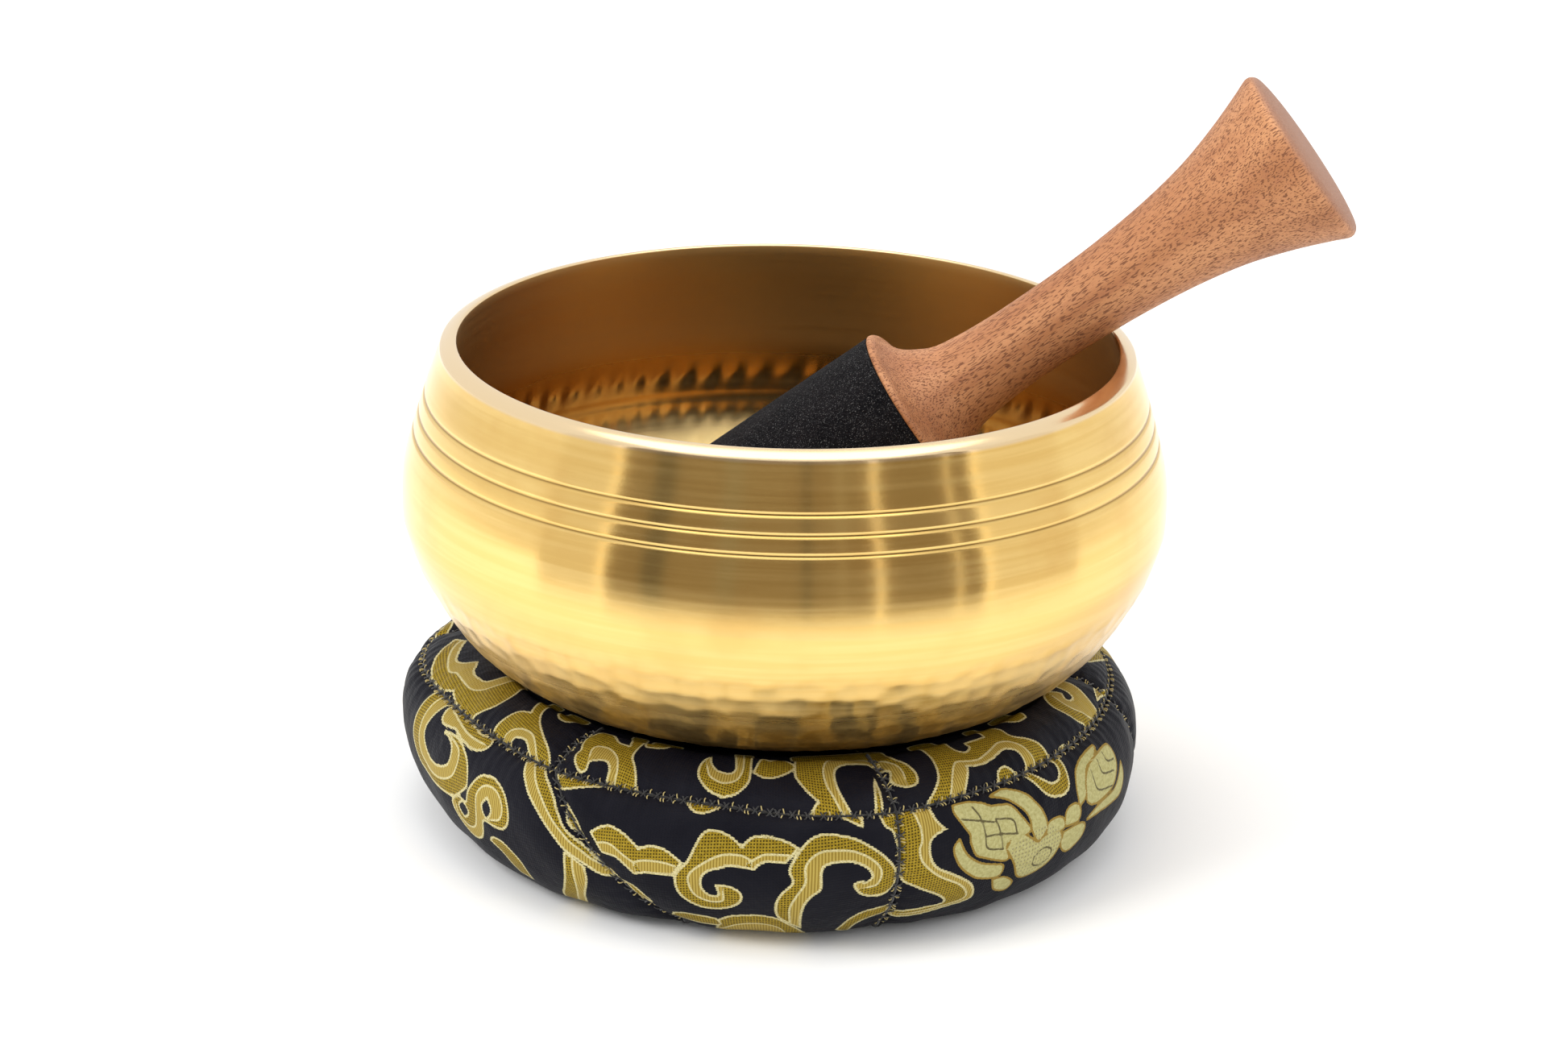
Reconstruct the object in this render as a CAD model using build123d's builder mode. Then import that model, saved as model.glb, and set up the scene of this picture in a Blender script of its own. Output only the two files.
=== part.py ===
from build123d import *
import os
from math import cos, radians, sin

# A singing bowl that stands on a stuffed cloth ring, with its mallet leaning in the bowl.
# Millimetres. The origin is the middle of the cushion's underside, +Z up, and the mallet
# leans towards +X. Azimuths are degrees round the ring, from -Y (the front) towards +X.

os.makedirs("parts", exist_ok=True)

# ---- cushion: six side panels and six top panels over a stuffed ring ----
cloth = 0.8                     # thickness of the brocade
slack = 0.1                     # gap between the cloth and what it covers
foot_radius = 68.0              # bottom seam
bulge_radius, bulge_height = 82.2, 21.0
seam_radius, seam_height = 77.7, 32.7
crown_radius, crown_height = 64.0, 37.3
well_radius, well_lip = 26.0, 3.0
corners = (-38.9, 18.0, 81.0, 141.0, 201.0, 261.0)    # azimuths of the panels' seams at the top
foot_turns = (17.9, 0.0, 6.0, 6.0, 6.0, 6.0)    # how far each side seam leans round at its foot
channel = 0.7                   # half width of the gap that a seam leaves in the cloth
thread = 0.5                    # half width of the sewing in that gap
foot_thread = 0.35

# ---- bowl: hand-hammered brass, a flat foot and a wall that turns in at the rim ----
wall = 4.0
bowl_foot_radius, bowl_foot_height = 34.0, 31.7
under_radius, under_height = 54.0, 35.9         # end of the shallow cone round the foot
hip_radius, hip_height = 66.0, 41.3
belly_radius, belly_height = 85.0, 73.5
lip_radius, lip_height = 76.6, 109.5            # outer edge of the rim
mouth_radius, mouth_height = 72.9, 110.9        # inner edge of the rim
groove_heights = (98.9, 94.8, 90.8)
groove_radius, groove_depth = 0.6, 0.35
seat_gap = 0.35                 # air between the bowl and the cushion

# ---- mallet: a turned wooden grip with suede round its head ----
mallet_tilt = 36.8              # above the horizontal
collar_centre = (29.5, 10.7, 91.05)             # where the suede meets the grip
head_length, head_radius, core_radius = 65.0, 20.25, 19.1
collar_radius = 20.3
neck_radius, neck_at = 8.8, 31.0
flare_radius, flare_at = 20.9, 101.4
end_at = 105.0
suede_split = 0.4               # the butt joint of the suede
fit_gap = 0.05


def direction(azimuth):
    """Unit vector that points out of the ring at an azimuth."""
    return Vector(sin(radians(azimuth)), -cos(radians(azimuth)), 0)


def bowl_outer_line(drop=0.0):
    """Half outline of the bowl's outside, from the axis out to the rim's outer edge."""
    foot = (bowl_foot_radius, bowl_foot_height - drop)
    under = (under_radius, under_height - drop)
    hip = (hip_radius, hip_height - drop)
    cone = Polyline((0, foot[1]), foot, under)
    turn = TangentArc(under, hip, tangent=cone % 1)
    return Spline(
        hip,
        (77.2, 53.5 - drop),
        (belly_radius, belly_height - drop),
        (83.0, 89.5 - drop),
        (lip_radius, lip_height - drop),
        tangents=(turn % 1, (-0.29, 0.957)),
    )


def bowl_inner_line():
    """Half outline of the bowl's inside, one wall in from the outside."""
    floor = (bowl_foot_radius - 0.4, bowl_foot_height + wall)
    under = (53.2, 39.8)
    hip = (63.6, 44.6)
    cone = Polyline((0, floor[1]), floor, under)
    turn = TangentArc(under, hip, tangent=cone % 1)
    Spline(
        hip,
        (73.6, 55.3),
        (belly_radius - wall, belly_height),
        (79.0, 89.0),
        (mouth_radius, mouth_height),
        tangents=(turn % 1, (-0.31, 0.951)),
    )


def cushion_face():
    """Half section of the stuffed ring, dished where the bowl sits in it."""
    foot = (foot_radius, 0)
    bulge = (bulge_radius, bulge_height)
    seam = (seam_radius, seam_height)
    crown = (crown_radius, crown_height)
    with BuildLine() as stuffed:
        TangentArc(bulge, foot, tangent=(0, -1))
        TangentArc(bulge, seam, tangent=(0, 1))
        TangentArc(crown, seam, tangent=(1, 0))
        Polyline(crown, (well_radius, crown_height), (well_radius, 0), foot)
    make_face(stuffed.edges())
    with BuildLine() as dish:
        outer = bowl_outer_line(seat_gap)
        Polyline(outer @ 1, (0, (outer @ 1).Y), (0, bowl_foot_height - seat_gap))
    make_face(dish.edges(), mode=Mode.SUBTRACT)


def well_edge(sketch):
    """The corner between the dish and the well."""
    return sketch.vertices().sort_by(Axis.X)[:2].sort_by(Axis.Y)[-1]


def seam_plane(index, shift=0.0):
    """Leaning plane through a corner of the ring, facing round to the next corner."""
    corner = index % len(corners)
    top_azimuth = corners[corner]
    foot_azimuth = top_azimuth + foot_turns[corner]
    top = direction(top_azimuth) * seam_radius + Vector(0, 0, seam_height)
    foot = direction(foot_azimuth) * foot_radius
    middle = Vector(0, 0, seam_height / 2)
    normal = (top - middle).cross(foot - middle).normalized()
    return Plane(origin=middle + normal * shift, z_dir=normal)


def radial_plane(index, shift=0.0):
    """Upright plane through the axis and a corner of the ring's top seam."""
    normal = direction(corners[index % len(corners)] + 90)
    return Plane(origin=normal * shift, z_dir=normal)


def export(builder, name):
    builder.part.label = name
    export_step(builder.part, f"parts/{name}.step")


# ---- cushion: stuffing and cloth ----
with BuildPart() as cushion_filling:
    with BuildSketch(Plane.XZ) as filling_section:
        cushion_face()
        fillet(well_edge(filling_section), well_lip)
        offset(amount=-(cloth + slack))
    revolve(axis=Axis.Z)
export(cushion_filling, "cushion_filling")

with BuildPart() as base_panel:
    Cylinder(foot_radius - 1, cloth, align=(Align.CENTER, Align.CENTER, Align.MIN))
export(base_panel, "base_panel")

# The cloth's half section, cut into strips where the ring seams run.
lip_inset = well_lip * (1 - cos(radians(45))) + cloth / 2 * cos(radians(45))
ring_seams = {
    "top_seam_thread": ((seam_radius - 0.27, seam_height - 0.3), thread),
    "inner_seam_thread": (
        (well_radius + lip_inset, bowl_foot_height - seat_gap - lip_inset),
        thread,
    ),
    "bottom_seam_thread": ((foot_radius - 0.5, cloth / 2), foot_thread),
}

with BuildPart() as cloth_rings:
    with BuildSketch(Plane.XZ) as cloth_section:
        cushion_face()
        fillet(well_edge(cloth_section), well_lip)
        offset(amount=-cloth, mode=Mode.SUBTRACT)
        with Locations(ring_seams["top_seam_thread"][0], ring_seams["inner_seam_thread"][0]):
            Circle(channel, mode=Mode.SUBTRACT)
        Rectangle(2 * foot_radius, 2 * (cloth + slack), mode=Mode.SUBTRACT)
    revolve(axis=Axis.Z)
inner_ring, top_ring, side_ring = cloth_rings.part.solids().sort_by(
    lambda solid: solid.bounding_box().max.X
)

with BuildPart() as inner_band:
    add(inner_ring)
export(inner_band, "inner_band")

for i in range(len(corners)):
    with BuildPart() as side_panel:
        add(side_ring)
        split(bisect_by=seam_plane(i, channel), keep=Keep.TOP)
        split(bisect_by=seam_plane(i + 1, -channel), keep=Keep.BOTTOM)
    export(side_panel, f"side_panel_{i + 1}")

    with BuildPart() as top_panel:
        add(top_ring)
        split(bisect_by=radial_plane(i, channel), keep=Keep.TOP)
        split(bisect_by=radial_plane(i + 1, -channel), keep=Keep.BOTTOM)
    export(top_panel, f"top_panel_{i + 1}")

# ---- cushion: sewing ----
for name, (centre, radius) in ring_seams.items():
    with BuildPart() as ring_thread:
        with BuildSketch(Plane.XZ):
            with Locations(centre):
                Circle(radius)
        revolve(axis=Axis.Z)
    export(ring_thread, name)


def seam_strips(ring, plane_at):
    """One narrow strip of the ring's cloth at each corner."""
    strips = []
    for i in range(len(corners)):
        outward = Plane(origin=(0, 0, 0), z_dir=direction(corners[i]))
        with BuildPart() as strip:
            add(ring)
            split(bisect_by=outward, keep=Keep.TOP)
            split(bisect_by=plane_at(i, -thread), keep=Keep.TOP)
            split(bisect_by=plane_at(i, thread), keep=Keep.BOTTOM)
        strips.append(strip.part)
    return strips


with BuildPart() as side_seam_threads:
    add(seam_strips(side_ring, seam_plane))
export(side_seam_threads, "side_seam_threads")

with BuildPart() as radial_seam_threads:
    add(seam_strips(top_ring, radial_plane))
export(radial_seam_threads, "radial_seam_threads")

# ---- bowl ----
with BuildPart() as bowl:
    with BuildSketch(Plane.XZ) as bowl_section:
        with BuildLine():
            outer = bowl_outer_line()
            bowl_inner_line()
            Line((lip_radius, lip_height), (mouth_radius, mouth_height))
            Line((0, bowl_foot_height), (0, bowl_foot_height + wall))
        make_face()
        for height in groove_heights:
            level = Axis((0, height, 0), (1, 0, 0))
            surface = outer.find_intersection_points(level)[0]
            with Locations((surface.X + groove_radius - groove_depth, height)):
                Circle(groove_radius, mode=Mode.SUBTRACT)
    revolve(axis=Axis.Z)
export(bowl, "bowl")

# ---- mallet, drawn along its own axis from the edge of the suede ----
mallet_axis = Vector(cos(radians(mallet_tilt)), 0, sin(radians(mallet_tilt)))
mallet_plane = Plane(origin=collar_centre, x_dir=mallet_axis, z_dir=(0, -1, 0))
turning_axis = Axis(collar_centre, mallet_axis)

with BuildPart() as mallet_handle:
    with BuildSketch(mallet_plane):
        with BuildLine():
            Polyline(
                (end_at, 0),
                (-head_length, 0),
                (-head_length, core_radius - 1),
                (1 - head_length, core_radius),
                (0, core_radius),
                (0, collar_radius),
            )
            bead = ThreePointArc((0, collar_radius), (1.3, 19.5), (2.0, 17.6))
            neck = Spline(
                bead @ 1,
                (4.9, 13.6),
                (11.4, 10.2),
                (neck_at, neck_radius),
                tangents=((0.35, -0.94), (1, 0)),
            )
            flare = Spline(
                neck @ 1,
                (50.0, 9.3),
                (67.0, 10.9),
                (82.0, 13.8),
                (flare_at, flare_radius),
                tangents=((1, 0), (0.94, 0.35)),
            )
            corner = ThreePointArc(flare @ 1, (103.0, 20.6), (103.5, 19.2))
            crown = ThreePointArc(corner @ 1, (104.6, 14.0), (end_at, 8.0))
            Line(crown @ 1, (end_at, 0))
        make_face()
    revolve(axis=turning_axis)
export(mallet_handle, "mallet_handle")

with BuildPart() as mallet_suede_wrap:
    with BuildSketch(mallet_plane):
        with BuildLine():
            Polyline(
                (-head_length, core_radius + fit_gap),
                (-head_length, head_radius - 0.6),
                (0.6 - head_length, head_radius),
                (-fit_gap - 0.3, head_radius),
                (-fit_gap, head_radius - 0.3),
                (-fit_gap, core_radius + fit_gap),
                close=True,
            )
        make_face()
    revolve(axis=turning_axis)
    with BuildSketch(mallet_plane):
        with Locations((-head_length / 2, 0)):
            Rectangle(2 * head_length, suede_split)
    extrude(amount=-2 * head_radius, mode=Mode.SUBTRACT)
export(mallet_suede_wrap, "mallet_suede_wrap")
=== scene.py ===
import math
import bpy
import numpy as np
from mathutils import Matrix, Vector


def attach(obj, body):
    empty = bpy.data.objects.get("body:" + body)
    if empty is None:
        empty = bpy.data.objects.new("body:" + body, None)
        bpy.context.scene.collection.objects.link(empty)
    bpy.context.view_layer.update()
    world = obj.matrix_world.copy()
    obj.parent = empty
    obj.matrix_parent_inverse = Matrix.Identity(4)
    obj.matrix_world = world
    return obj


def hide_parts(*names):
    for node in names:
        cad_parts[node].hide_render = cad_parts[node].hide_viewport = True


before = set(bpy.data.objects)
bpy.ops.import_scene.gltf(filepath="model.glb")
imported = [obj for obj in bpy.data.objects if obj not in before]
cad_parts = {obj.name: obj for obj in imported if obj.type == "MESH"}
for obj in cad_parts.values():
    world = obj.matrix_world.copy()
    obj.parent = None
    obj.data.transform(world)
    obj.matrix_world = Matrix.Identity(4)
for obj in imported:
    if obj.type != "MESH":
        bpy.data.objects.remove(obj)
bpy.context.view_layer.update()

MM = 0.001
TAU = 2 * math.pi
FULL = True


# ---------------------------------------------------------------- outlines

def smooth(points, step):
    """A Catmull-Rom curve through rows of numbers, sampled about every step along columns 0 and 1."""
    points = np.array(points, float)
    ends = np.vstack([2 * points[0] - points[1], points, 2 * points[-1] - points[-2]])
    rows = []
    for before, start, end, after in zip(ends, ends[1:], ends[2:], ends[3:]):
        count = max(2, math.ceil(np.linalg.norm((end - start)[:2]) / step))
        t = (np.arange(count) / count)[:, None]
        rows.append(0.5 * (2 * start + (end - before) * t
                           + (2 * before - 5 * start + 4 * end - after) * t ** 2
                           + (3 * start - 3 * end + after - before) * t ** 3))
    return np.vstack(rows + [points[-1:]])


def lengths_of(line):
    """The distance along a line to each of its points."""
    return np.concatenate([[0], np.cumsum(np.linalg.norm(np.diff(line, axis=0), axis=1))])


def normals_of(line):
    """Unit normals to the left of a line in the plane."""
    run = np.gradient(line, axis=0)
    run /= np.linalg.norm(run, axis=1)[:, None]
    return np.stack([-run[:, 1], run[:, 0]], 1)


# ---------------------------------------------------------------- meshes

def grid_faces(rows, columns):
    """Quads between rows of points, the last column joined to the first."""
    row, column = np.meshgrid(np.arange(rows - 1), np.arange(columns), indexing="ij")
    right = (column + 1) % columns
    quads = [row * columns + column, row * columns + right,
             (row + 1) * columns + right, (row + 1) * columns + column]
    return np.stack(quads, -1).reshape(-1, 4)


def end_caps(rows, columns):
    """Faces that close the first and the last row."""
    last = (rows - 1) * columns
    return [range(columns - 1, -1, -1), range(last, last + columns)]


def make_piece(name, points, faces, material, body, attributes=None, caps=()):
    """A smooth mesh piece in metres from points in millimetres, riding on a body."""
    mesh = bpy.data.meshes.new(name)
    corner = points[faces]
    enclosed = (np.cross(corner[:, 0] - corner[:, 2], corner[:, 1] - corner[:, 3]) * corner.mean(1)).sum()
    if enclosed < 0:
        faces = faces[:, ::-1]
        caps = [list(cap)[::-1] for cap in caps]
    polygons = list(faces) + [list(cap) for cap in caps]
    if caps:
        mesh.from_pydata((points * MM).tolist(), [], [list(map(int, face)) for face in polygons])
    else:
        mesh.vertices.add(len(points))
        mesh.vertices.foreach_set("co", (points * MM).astype(np.float32).ravel())
        sides = faces.shape[1]
        mesh.loops.add(faces.size)
        mesh.loops.foreach_set("vertex_index", faces.astype(np.int32).ravel())
        mesh.polygons.add(len(faces))
        mesh.polygons.foreach_set("loop_start", np.arange(0, faces.size, sides, dtype=np.int32))
        mesh.update(calc_edges=True)
    mesh.polygons.foreach_set("use_smooth", np.ones(len(mesh.polygons), bool))
    for key, values in (attributes or {}).items():
        values = np.asarray(values, np.float32)
        if values.ndim == 1:
            mesh.attributes.new(key, "FLOAT", "POINT").data.foreach_set("value", values)
        else:
            mesh.attributes.new(key, "FLOAT_VECTOR", "POINT").data.foreach_set("vector", values.ravel())
    mesh.validate()
    mesh.update()
    piece = bpy.data.objects.new(name, mesh)
    bpy.context.scene.collection.objects.link(piece)
    mesh.materials.append(material)
    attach(piece, body)
    return piece


class Shader:
    """A Principled material whose methods add nodes and return their outputs."""

    def __init__(self, name, **fixed):
        self.material = bpy.data.materials.new(name)
        self.material.use_nodes = True
        self.nodes = self.material.node_tree.nodes
        self.links = self.material.node_tree.links
        self.surface = self.nodes["Principled BSDF"]
        for socket, value in fixed.items():
            self.surface.inputs[socket.replace("_", " ")].default_value = value

    def feed(self, socket, value):
        if isinstance(value, bpy.types.NodeSocket):
            self.links.new(value, socket)
        elif value is not None:
            socket.default_value = value

    def drive(self, socket, value):
        """Links a value to one of the surface's sockets."""
        self.feed(self.surface.inputs[socket], value)

    def add(self, kind, values, output=0, **options):
        node = self.nodes.new("ShaderNode" + kind)
        for option, value in options.items():
            setattr(node, option, value)
        for key, value in values.items():
            self.feed(node.inputs[key], value)
        return node.outputs[output]

    def math(self, operation, a, b=0.0):
        return self.add("Math", {0: a, 1: b}, operation=operation)

    def times(self, a, b):
        return self.math("MULTIPLY", a, b)

    def plus(self, a, b):
        return self.math("ADD", a, b)

    def mix(self, factor, a, b):
        """Colour a where the factor is 0, b where it is 1; each is red, green and blue, or an output."""
        a, b = (value + (1.0,) if isinstance(value, tuple) else value for value in (a, b))
        return self.add("Mix", {0: factor, 6: a, 7: b}, output=2, data_type="RGBA")

    def attribute(self, name, output="Fac"):
        return self.add("Attribute", {}, output=output, attribute_name=name)

    def place(self, x, y, z):
        """The object's coordinates in millimetres, times a scale for each axis."""
        metres = self.add("TexCoord", {}, output="Object")
        return self.add("VectorMath", {0: metres, 1: (x / MM, y / MM, z / MM)}, operation="MULTIPLY")

    def noise(self, vector, detail=2.0, rough=0.5, distortion=0.0, scale=1.0):
        return self.add("TexNoise", {"Vector": vector, "Scale": scale, "Detail": detail,
                                     "Roughness": rough, "Distortion": distortion})

    def rise(self, value, low, high, to_low=0.0, to_high=1.0):
        """to_low below low, to_high above high, and smooth between."""
        return self.add("MapRange", {"Value": value, "From Min": low, "From Max": high,
                                     "To Min": to_low, "To Max": to_high}, interpolation_type="SMOOTHSTEP")

    def bump(self, height, millimetres, normal=None):
        return self.add("Bump", {"Height": height, "Distance": millimetres * MM, "Strength": 1.0,
                                 "Normal": normal})


def brass():
    """Turned, satin brass: rings of fine tool marks, hammer marks from the mesh, a tarnished foot, painted
    shade in the grooves and between hammer marks, and painted reflection on the rim and inside.
    """
    made = Shader("brass", Metallic=1.0, Anisotropic=0.75, Anisotropic_Rotation=0.25)
    made.drive("Tangent", made.add("Tangent", {}, direction_type="RADIAL", axis="Z"))
    along, tarnish, rim, inside = map(made.attribute, ("along", "tarnish", "rim", "inside"))
    x = made.add("SeparateXYZ", {"Vector": made.place(0.012, 0.012, 1.0)})
    y, height = x.node.outputs[1:3]
    turned = made.add("CombineXYZ", {"X": x, "Y": y, "Z": made.times(along, 4.0)})
    marks = made.noise(turned, 4.0, 0.65)
    coarse = made.add("CombineXYZ", {"X": x, "Y": y, "Z": made.times(along, 0.55)})
    bands = made.noise(coarse, 3.0, 0.6)
    cloud = made.noise(made.place(0.05, 0.05, 0.05), 3.0, 0.55)
    gold = made.mix(made.rise(bands, 0.35, 0.65), (0.85, 0.57, 0.19), (0.90, 0.63, 0.235))
    gold = made.mix(made.times(made.rise(cloud, 0.5, 0.75), 0.5), gold, (0.78, 0.48, 0.15))
    # Inside, a bright lower bowl and floor and darker upper walls: the bright floor is a painted reflection,
    # and the dark walls are patina together with a painted dark reflection.
    patina_and_painted_reflection = made.mix(made.rise(height, 60, 76), (0.96, 0.70, 0.31), (0.52, 0.31, 0.115))
    gold = made.mix(inside, gold, patina_and_painted_reflection)
    # Darker along the edges between hammer marks: painted shade.
    gold = made.mix(made.times(made.attribute("facet_shade"), 0.42), gold, (0.66, 0.40, 0.10))
    # The rim's paler, lighter colour is a painted reflection of its bright surroundings.
    gold = made.mix(rim, gold, (0.87, 0.67, 0.41))
    blot = made.noise(made.place(0.22, 0.22, 0.3), 4.0, 0.6)
    brown = made.mix(made.rise(blot, 0.35, 0.65), (0.30, 0.17, 0.05), (0.62, 0.40, 0.13))
    gold = made.mix(made.times(tarnish, made.rise(blot, 0.2, 0.6, 0.55, 1.0)), gold, brown)
    # Darker in the grooves: painted shade.
    gold = made.mix(made.times(made.attribute("groove"), 0.8), gold, (0.22, 0.12, 0.03))
    made.drive("Base Color", gold)
    rougher = made.plus(made.times(tarnish, 0.12), made.times(inside, made.rise(height, 79, 87, 0.04, 0.22)))
    made.drive("Roughness", made.plus(made.rise(bands, 0.3, 0.7, 0.17, 0.22), rougher))
    smoothness = made.math("SUBTRACT", 1.0, made.times(rim, 0.7))
    made.drive("Normal", made.bump(made.times(marks, smoothness), 0.004, made.bump(blot, 0.012)))
    return made.material


def turned_wood():
    """Open-pored reddish wood, its pores long along the grip and short where it is cut across."""
    made = Shader("turned_wood", Specular_IOR_Level=0.35)
    tone = made.noise(made.place(0.10, 0.10, 0.012), 4.0, 0.55, 0.4)
    streak = made.noise(made.place(0.9, 0.9, 0.03), 3.0, 0.6)
    pore = made.noise(made.place(3.4, 3.4, 0.62), 1.0, 0.4)
    fleck = made.rise(pore, 0.54, 0.64)
    fine = made.noise(made.place(6.0, 6.0, 1.3), 1.0, 0.5)
    wood = made.mix(made.rise(tone, 0.32, 0.68), (0.38, 0.150, 0.058), (0.56, 0.26, 0.115))
    wood = made.mix(made.times(made.rise(streak, 0.45, 0.7), 0.45), wood, (0.36, 0.14, 0.065))
    wood = made.mix(made.times(made.rise(fine, 0.55, 0.7), 0.4), wood, (0.30, 0.12, 0.055))
    wood = made.mix(made.times(fleck, 0.8), wood, (0.14, 0.048, 0.022))
    cut_end = made.mix(made.rise(fine, 0.4, 0.7), (0.40, 0.20, 0.12), (0.27, 0.12, 0.07))
    made.drive("Base Color", made.mix(made.attribute("end_grain"), wood, cut_end))
    made.drive("Roughness", made.rise(pore, 0.45, 0.7, 0.52, 0.75))
    made.drive("Normal", made.bump(made.math("SUBTRACT", 1.0, fleck), 0.06, made.bump(streak, 0.03)))
    return made.material


def suede():
    """Black napped leather with grey specks."""
    made = Shader("suede", Roughness=0.95, Sheen_Weight=0.04, Sheen_Roughness=0.4,
                  Specular_IOR_Level=0.08)
    nap = made.noise(made.place(2.2, 2.2, 1.4), 4.0, 0.7)
    patch = made.noise(made.place(0.16, 0.16, 0.10), 3.0, 0.55)
    speck = made.rise(made.noise(made.place(5.0, 5.0, 4.0), 1.0, 0.5), 0.63, 0.71)
    black = made.mix(made.rise(patch, 0.35, 0.7), (0.002, 0.002, 0.003), (0.007, 0.006, 0.007))
    black = made.mix(made.rise(nap, 0.4, 0.8), black, (0.017, 0.016, 0.018))
    made.drive("Base Color", made.mix(made.times(speck, 0.55), black, (0.24, 0.235, 0.23)))
    made.drive("Normal", made.bump(nap, 0.35))
    return made.material


def brocade():
    """Black satin with woven figures: an ivory edge, a dotted gold ground and a lighter gold strip."""
    made = Shader("brocade", Specular_IOR_Level=0.06)
    cloth = made.attribute("cloth", "Vector")
    x = made.add("SeparateXYZ", {"Vector": cloth})
    y = x.node.outputs[1]

    def ribs(value, pitch, phase=0.0):
        turns = made.plus(made.times(value, TAU / pitch), phase)
        return made.plus(made.times(made.math("SINE", turns), 0.5), 0.5)

    warp = ribs(x, 0.62)
    weft = ribs(made.plus(y, made.times(x, 0.14)), 0.66)
    serration = made.times(made.math("SUBTRACT", ribs(y, 0.5), 0.5), 0.16)
    fray = made.times(made.math("SUBTRACT", made.noise(cloth, scale=2.4), 0.5), 0.35)
    wobble = made.plus(serration, fray)
    inside = made.plus(made.attribute("figure"), wobble)
    across = made.attribute("across")
    petal = made.plus(made.plus(made.attribute("petal"), 0.4), made.times(wobble, 0.5))
    vein = made.attribute("vein")
    net = made.attribute("net")

    satin_tone = made.noise(made.place(0.06, 0.06, 0.06), 2.0)
    # Lighter twill lines on the black satin: a painted sheen.
    twill_sheen = ribs(made.plus(x, made.times(y, 2.0)), 0.55)
    black = made.mix(made.rise(satin_tone, 0.3, 0.7), (0.003, 0.003, 0.006), (0.007, 0.007, 0.011))
    black = made.mix(made.times(twill_sheen, 0.3), black, (0.020, 0.020, 0.025))

    thread_tone = made.noise(cloth, 3.0, 0.7, scale=1.3)
    ground = made.mix(made.rise(thread_tone, 0.3, 0.7), (0.25, 0.165, 0.012), (0.39, 0.275, 0.028))
    dot = made.times(made.rise(warp, 0.2, 0.65), made.rise(weft, 0.25, 0.65))
    ground = made.mix(dot, ground, (0.050, 0.036, 0.008))
    strip = made.mix(made.rise(warp, 0.2, 0.9), (0.45, 0.335, 0.080), (0.26, 0.180, 0.032))
    gold = made.mix(made.rise(across, -0.05, 0.05), strip, ground)
    ivory = made.mix(made.rise(made.noise(cloth, scale=3.0), 0.35, 0.65), (0.44, 0.375, 0.165),
                     (0.66, 0.60, 0.34))
    seam_line = made.rise(made.math("ABSOLUTE", across), 0.16, 0.30, 1.0, 0.0)
    edge_line = made.rise(inside, 0.48, 0.62, 1.0, 0.0)
    gold = made.mix(made.math("MAXIMUM", seam_line, edge_line), gold, ivory)

    champagne = made.mix(made.rise(thread_tone, 0.3, 0.7), (0.33, 0.30, 0.115), (0.46, 0.425, 0.195))
    mesh_hole = made.times(made.rise(ribs(x, 0.95), 0.5, 0.8), made.rise(ribs(y, 0.95), 0.5, 0.8))
    champagne = made.mix(made.times(mesh_hole, made.times(net, 0.8)), champagne,
                         (0.20, 0.17, 0.10))
    champagne = made.mix(made.rise(vein, 0.14, 0.30, 0.9, 0.0), champagne, (0.07, 0.055, 0.025))
    champagne = made.mix(made.rise(petal, 0.42, 0.58, 0.9, 0.0), champagne, (0.24, 0.145, 0.020))

    on_gold = made.rise(inside, -0.03, 0.05)
    on_petal = made.rise(petal, -0.03, 0.05)
    made.drive("Base Color", made.mix(on_petal, made.mix(on_gold, black, gold), champagne))
    figure = made.math("MAXIMUM", on_gold, on_petal)
    made.drive("Roughness", made.plus(made.times(figure, 0.05), 0.46))
    made.drive("Metallic", made.times(on_gold, 0.35))
    raised = made.plus(figure, made.times(made.plus(warp, weft), 0.12))
    made.drive("Normal", made.bump(raised, 0.18, made.bump(made.noise(cloth, 3.0, scale=0.5), 0.25)))
    return made.material


def plain_cloth():
    """Black plain weave."""
    made = Shader("plain_cloth", Roughness=0.85, Sheen_Weight=0.3, Specular_IOR_Level=0.2)
    warp = made.add("TexWave", {"Vector": made.place(1.0, 0.0, 0.0), "Scale": 0.8})
    weft = made.add("TexWave", {"Vector": made.place(0.0, 1.0, 1.0), "Scale": 0.8}, bands_direction="Y")
    tone = made.noise(made.place(0.2, 0.2, 0.2), 3.0)
    weave = made.times(warp, weft)
    light = made.plus(made.times(weave, 0.6), made.times(tone, 0.4))
    made.drive("Base Color", made.mix(light, (0.010, 0.010, 0.012), (0.040, 0.040, 0.046)))
    made.drive("Normal", made.bump(weave, 0.15))
    return made.material


def sewing_thread():
    """Black thread with a twist and paler fibres."""
    made = Shader("sewing_thread", Roughness=0.6, Sheen_Weight=0.4)
    twist = made.noise(made.place(3.0, 3.0, 3.0), 2.0)
    black = made.mix(made.rise(twist, 0.5, 0.7), (0.006, 0.006, 0.007), (0.035, 0.032, 0.028))
    # Pale threads beside the stitches stand in for highlights on the satin: painted highlights.
    made.drive("Base Color", made.mix(made.attribute("tick_highlight"), black, (0.46, 0.36, 0.13)))
    made.drive("Normal", made.bump(twist, 0.08))
    return made.material


def stuffing_fibre():
    """Off-white fibre."""
    made = Shader("stuffing_fibre", Roughness=0.9, Sheen_Weight=0.3)
    fibre = made.noise(made.place(0.5, 0.5, 0.5), 6.0, 0.7)
    made.drive("Base Color", made.mix(fibre, (0.62, 0.60, 0.54), (0.82, 0.80, 0.76)))
    made.drive("Normal", made.bump(fibre, 0.8))
    return made.material


def pale_floor():
    made = Shader("pale_floor", Roughness=0.6, Specular_IOR_Level=0.1)
    grain = made.noise(made.place(0.002, 0.002, 0.002), 2.0)
    made.drive("Base Color", made.mix(grain, (0.93, 0.93, 0.925), (0.95, 0.95, 0.945)))
    return made.material


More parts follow.
